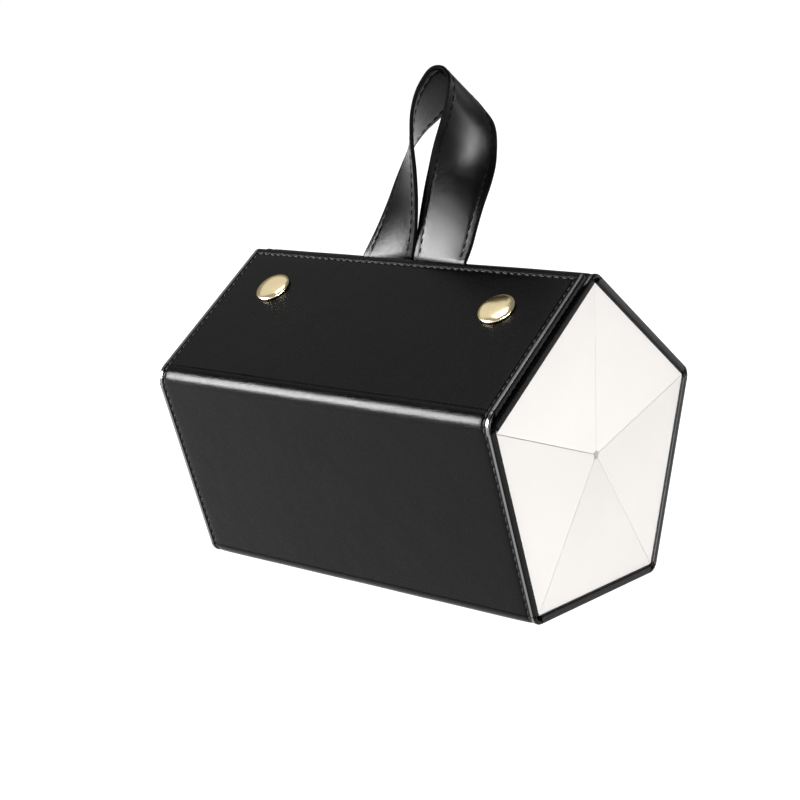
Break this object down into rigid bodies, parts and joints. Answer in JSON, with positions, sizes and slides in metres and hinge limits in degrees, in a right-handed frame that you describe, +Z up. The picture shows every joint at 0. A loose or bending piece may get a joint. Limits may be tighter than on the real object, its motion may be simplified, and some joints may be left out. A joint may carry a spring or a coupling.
{
  "type": "roll-up spectacle organiser",
  "caption": "Roll-up spectacle organiser: triangular lidded boxes joined by leather bends close into a five-sided prism with a snap flap and carrying strap",
  "frame": {"origin": "centre of the underside, on the surface it stands on", "axes": "+X along the length towards the end seen in the picture's right, -Y the front with the flap, +Z up"},
  "size_m": [0.1686, 0.1315, 0.201],
  "materials": {
    "leather": "fine-grained satin black synthetic leather",
    "strap_leather": "smooth semi-gloss black strap leather, edge stitched",
    "white_lining": "off-white matt lining over board",
    "velvet_pad": "dark short-pile pad",
    "gold_snap": "polished pale gold plate",
    "steel": "nickel-plated closure plates"
  },
  "bodies": {
    "bottom_box": {"panel_bottom": "leather", "tray_bottom": "white_lining", "keeper_bottom": "steel", "pad_bottom": "velvet_pad", "bend_bottom_rear": "leather"},
    "rear_low_box": {"panel_rear_low": "leather", "tray_rear_low": "white_lining", "keeper_rear_low": "steel", "pad_rear_low": "velvet_pad", "bend_rear_eaves": "leather"},
    "rear_roof_box": {"panel_rear_roof": "leather", "tray_rear_roof": "white_lining", "keeper_rear_roof": "steel", "pad_rear_roof": "velvet_pad", "bend_ridge": "leather"},
    "front_roof_box": {"panel_front_roof": "leather", "tray_front_roof": "white_lining", "keeper_front_roof": "steel", "pad_front_roof": "velvet_pad", "snap_stud_left": "gold_snap", "snap_stud_right": "gold_snap", "strap_end_left": "strap_leather", "strap_end_right": "strap_leather"},
    "front_low_box": {"panel_front_low": "leather", "tray_front_low": "white_lining", "keeper_front_low": "steel", "pad_front_low": "velvet_pad", "bend_front_bottom": "leather"},
    "bottom_lid": {"lid_bottom": "white_lining", "magnet_bottom": "steel"},
    "rear_low_lid": {"lid_rear_low": "white_lining", "magnet_rear_low": "steel"},
    "rear_roof_lid": {"lid_rear_roof": "white_lining", "magnet_rear_roof": "steel"},
    "front_roof_lid": {"lid_front_roof": "white_lining", "magnet_front_roof": "steel"},
    "front_low_lid": {"lid_front_low": "white_lining", "magnet_front_low": "steel"},
    "flap": {"flap_panel": "leather", "flap_bend": "leather", "snap_cap_left": "gold_snap", "snap_cap_right": "gold_snap", "snap_socket_left": "gold_snap", "snap_socket_right": "gold_snap"},
    "handle": {"handle_strap": "strap_leather"}
  },
  "joints": [
    {"name": "unroll_bottom_rear", "type": "hinge", "parent": "bottom_box", "child": "rear_low_box", "pos_m": [0, 0.04021, 0.00096], "axis": [-1, 0, 0], "range_deg": [0, 72], "deforming": ["bend_bottom_rear", "flap_panel", "flap_bend", "snap_cap_left", "snap_cap_right", "snap_socket_left", "snap_socket_right"]},
    {"name": "unroll_front_bottom", "type": "hinge", "parent": "bottom_box", "child": "front_low_box", "pos_m": [0, -0.04021, 0.00096], "axis": [1, 0, 0], "range_deg": [0, 72], "deforming": ["bend_front_bottom"]},
    {"name": "unroll_rear_eaves", "type": "hinge", "parent": "rear_low_box", "child": "rear_roof_box", "pos_m": [0, 0.06506, 0.07743], "axis": [-1, 0, 0], "range_deg": [0, 72], "deforming": ["bend_rear_eaves"]},
    {"name": "unroll_ridge", "type": "hinge", "parent": "rear_roof_box", "child": "front_roof_box", "pos_m": [0, 0, 0.1247], "axis": [-1, 0, 0], "range_deg": [0, 72], "deforming": ["bend_ridge"]},
    {"name": "flap_hinge", "type": "hinge", "parent": "front_low_box", "child": "flap", "pos_m": [0, -0.06587, 0.08119], "axis": [1, 0, 0], "range_deg": [0, 180]},
    {"name": "handle_swing", "type": "hinge", "parent": "front_roof_box", "child": "handle", "pos_m": [0, -0.00337, 0.12541], "axis": [1, 0, 0], "range_deg": [-20, 60]},
    {"name": "lid_bottom_hinge", "type": "hinge", "parent": "bottom_box", "child": "bottom_lid", "pos_m": [0, 0.03752, 0.00422], "axis": [-1, 0, 0], "range_deg": [0, 65]},
    {"name": "lid_rear_low_hinge", "type": "hinge", "parent": "rear_low_box", "child": "rear_low_lid", "pos_m": [0, 0.06112, 0.07589], "axis": [-1, 0, 0], "range_deg": [0, 65]},
    {"name": "lid_rear_roof_hinge", "type": "hinge", "parent": "rear_roof_box", "child": "rear_roof_lid", "pos_m": [0, 0.00025, 0.12048], "axis": [-1, 0, 0], "range_deg": [0, 65]},
    {"name": "lid_front_roof_hinge", "type": "hinge", "parent": "front_roof_box", "child": "front_roof_lid", "pos_m": [0, -0.06096, 0.07637], "axis": [-1, 0, 0], "range_deg": [0, 65]},
    {"name": "lid_front_low_hinge", "type": "hinge", "parent": "front_low_box", "child": "front_low_lid", "pos_m": [0, -0.03793, 0.00452], "axis": [-1, 0, 0], "range_deg": [0, 65]}
  ],
  "couplings": [
    {"joint": "unroll_front_bottom", "follows": "unroll_bottom_rear", "ratio": 1},
    {"joint": "unroll_rear_eaves", "follows": "unroll_bottom_rear", "ratio": 1},
    {"joint": "unroll_ridge", "follows": "unroll_bottom_rear", "ratio": 1},
    {"joint": "lid_bottom_hinge", "follows": "unroll_bottom_rear", "ratio": 0.9},
    {"joint": "lid_rear_low_hinge", "follows": "unroll_bottom_rear", "ratio": 0.9},
    {"joint": "lid_rear_roof_hinge", "follows": "unroll_bottom_rear", "ratio": 0.9},
    {"joint": "lid_front_roof_hinge", "follows": "unroll_bottom_rear", "ratio": 0.9},
    {"joint": "lid_front_low_hinge", "follows": "unroll_bottom_rear", "ratio": 0.9}
  ]
}
